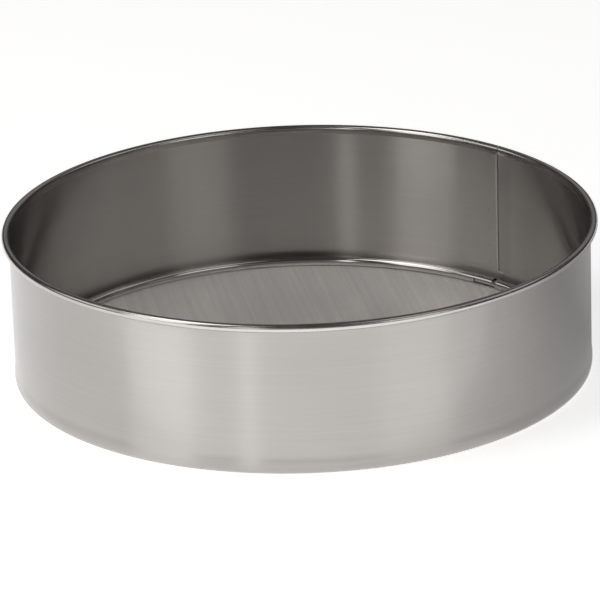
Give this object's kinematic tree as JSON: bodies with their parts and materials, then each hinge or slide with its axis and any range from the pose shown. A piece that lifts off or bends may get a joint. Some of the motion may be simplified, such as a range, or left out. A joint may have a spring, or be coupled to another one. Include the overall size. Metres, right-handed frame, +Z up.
{
  "type": "soil sieve",
  "caption": "Round sheet-steel soil sieve: a rolled-rim drum with a spot-welded lap seam, and a fine woven mesh disc held on its base lip by a split clamp ring.",
  "frame": {"origin": "centre of the base, on the plane that the sieve stands on", "axes": "+Z up along the drum's axis; the lap seam is 44.4 degrees counter-clockwise from +X"},
  "size_m": [0.3074, 0.3074, 0.08],
  "materials": {
    "sheet_steel": "bright satin stainless sheet with fine lines round the drum",
    "weld_metal": "dull pressed spot-weld marks",
    "core_wire": "drawn wire, hidden in the rim",
    "mesh_wire": "fine drawn stainless wire, plain weave",
    "ring_steel": "bright polished curled strip"
  },
  "bodies": {
    "drum": {"drum_wall": "sheet_steel", "seam_spot_welds": "weld_metal", "rim_core_wire": "core_wire"},
    "screen": {"woven_mesh": "mesh_wire"},
    "clamp_ring": {"mesh_clamp_ring": "ring_steel"}
  },
  "joints": [
    {"name": "screen_lift", "type": "slide", "parent": "drum", "child": "screen", "axis": [0, 0, 1], "range_m": [0, 0.09]},
    {"name": "clamp_ring_lift", "type": "slide", "parent": "screen", "child": "clamp_ring", "axis": [0, 0, 1], "range_m": [0, 0.09]}
  ]
}
